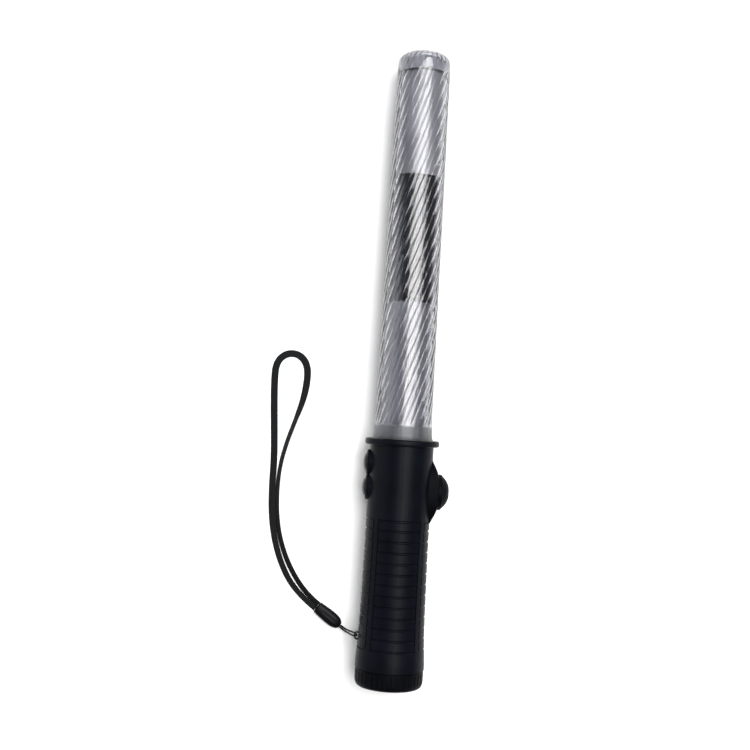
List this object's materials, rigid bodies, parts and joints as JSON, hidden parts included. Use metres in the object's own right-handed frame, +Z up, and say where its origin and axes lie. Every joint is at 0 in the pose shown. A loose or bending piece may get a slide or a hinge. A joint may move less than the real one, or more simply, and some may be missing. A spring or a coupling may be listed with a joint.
{
  "type": "traffic baton light",
  "caption": "Hand-held traffic baton light: clear fluted wand with a dark inner band on a black ribbed grip, with side buttons, magnet boss, screw cap and wrist strap.",
  "frame": {"origin": "centre of the tail cap's flat end face, on the baton's axis; the baton lies on its side", "axes": "+Y along the baton from tail to tip, +Z up from the surface it lies on, +X out of the magnet boss, buttons and strap eyelet towards -X"},
  "size_m": [0.127, 0.44, 0.0512],
  "materials": {
    "wand_clear": "clear moulded polycarbonate with helical flutes",
    "diffuser_milky": "milky translucent sleeve",
    "diffuser_frosted": "lightly frosted sleeve",
    "band_dark": "opaque near-black",
    "holder_clear": "clear",
    "holder_grey": "moulded",
    "board_white": "white solder mask",
    "lamp": "lamp body with a phosphor well",
    "seal_rubber": "nitrile",
    "handle_plastic": "fine moulded texture, satin",
    "screw_steel": "zinc plated",
    "cover_rubber": "soft cover over the magnet",
    "magnet_ferrite": "sintered ferrite",
    "board_green": "green solder mask",
    "component_black": "moulded",
    "wire_insulation": "vinyl",
    "inner_plastic": "moulded",
    "cell_jacket": "plain cell jacket",
    "contact_brass": "stamped",
    "spring_steel": "nickel plated wire",
    "contact_plate": "nickel plated",
    "cap_plastic": "fluted rim",
    "eyelet_steel": "blackened wire",
    "strap_cord": "braided cord",
    "sleeve_plastic": "moulded pod",
    "strap_webbing": "woven tape",
    "button_rubber": "glossy dome",
    "plunger_plastic": "moulded"
  },
  "bodies": {
    "handle": {"lens_tube": "wand_clear", "diffuser_lower": "diffuser_milky", "diffuser_upper": "diffuser_frosted", "band_sleeve": "band_dark", "tip_holder": "holder_clear", "foot_holder": "holder_grey", "led_board": "board_white", "leds": "lamp", "wand_seal": "seal_rubber", "collar_ring": "handle_plastic", "handle_left": "handle_plastic", "handle_right": "handle_plastic", "shell_screws": "screw_steel", "magnet_seat": "cover_rubber", "magnet_cover": "cover_rubber", "magnet_disc": "magnet_ferrite", "pole_plate": "screw_steel", "magnet_screw": "screw_steel", "switch_board": "board_green", "board_components": "component_black", "board_screws": "screw_steel", "tact_switches": "component_black", "wires": "wire_insulation", "battery_tube": "inner_plastic", "battery_rear": "cell_jacket", "battery_front": "cell_jacket", "contact_carrier": "inner_plastic", "positive_contact": "contact_brass", "return_strip": "contact_brass", "cap_seal": "seal_rubber", "strap_eyelet": "eyelet_steel", "strap_string": "strap_cord", "strap_sleeve": "sleeve_plastic", "strap_tape": "strap_webbing"},
    "button_upper": {"button_upper": "button_rubber", "plunger_upper": "plunger_plastic"},
    "button_lower": {"button_lower": "button_rubber", "plunger_lower": "plunger_plastic"},
    "tail_contact": {"tail_contact": "contact_plate", "tail_spring": "spring_steel"},
    "tail_cap": {"tail_cap": "cap_plastic"}
  },
  "joints": [
    {"name": "button_upper_press", "type": "slide", "parent": "handle", "child": "button_upper", "axis": [1, 0, 0], "range_m": [0, 0.0008], "stiffness_N_per_m": 2000},
    {"name": "button_lower_press", "type": "slide", "parent": "handle", "child": "button_lower", "axis": [1, 0, 0], "range_m": [0, 0.0008], "stiffness_N_per_m": 2000},
    {"name": "tail_contact_back_off", "type": "slide", "parent": "handle", "child": "tail_contact", "axis": [0, -1, 0], "range_m": [0, 0.0075]},
    {"name": "tail_cap_turn", "type": "hinge", "parent": "tail_contact", "child": "tail_cap", "pos_m": [0, 0, 0], "axis": [0, -1, 0], "range_deg": [0, 900]}
  ],
  "couplings": [
    {"joint": "tail_contact_back_off", "follows": "tail_cap_turn", "m_per_rad": 0.00047746}
  ]
}
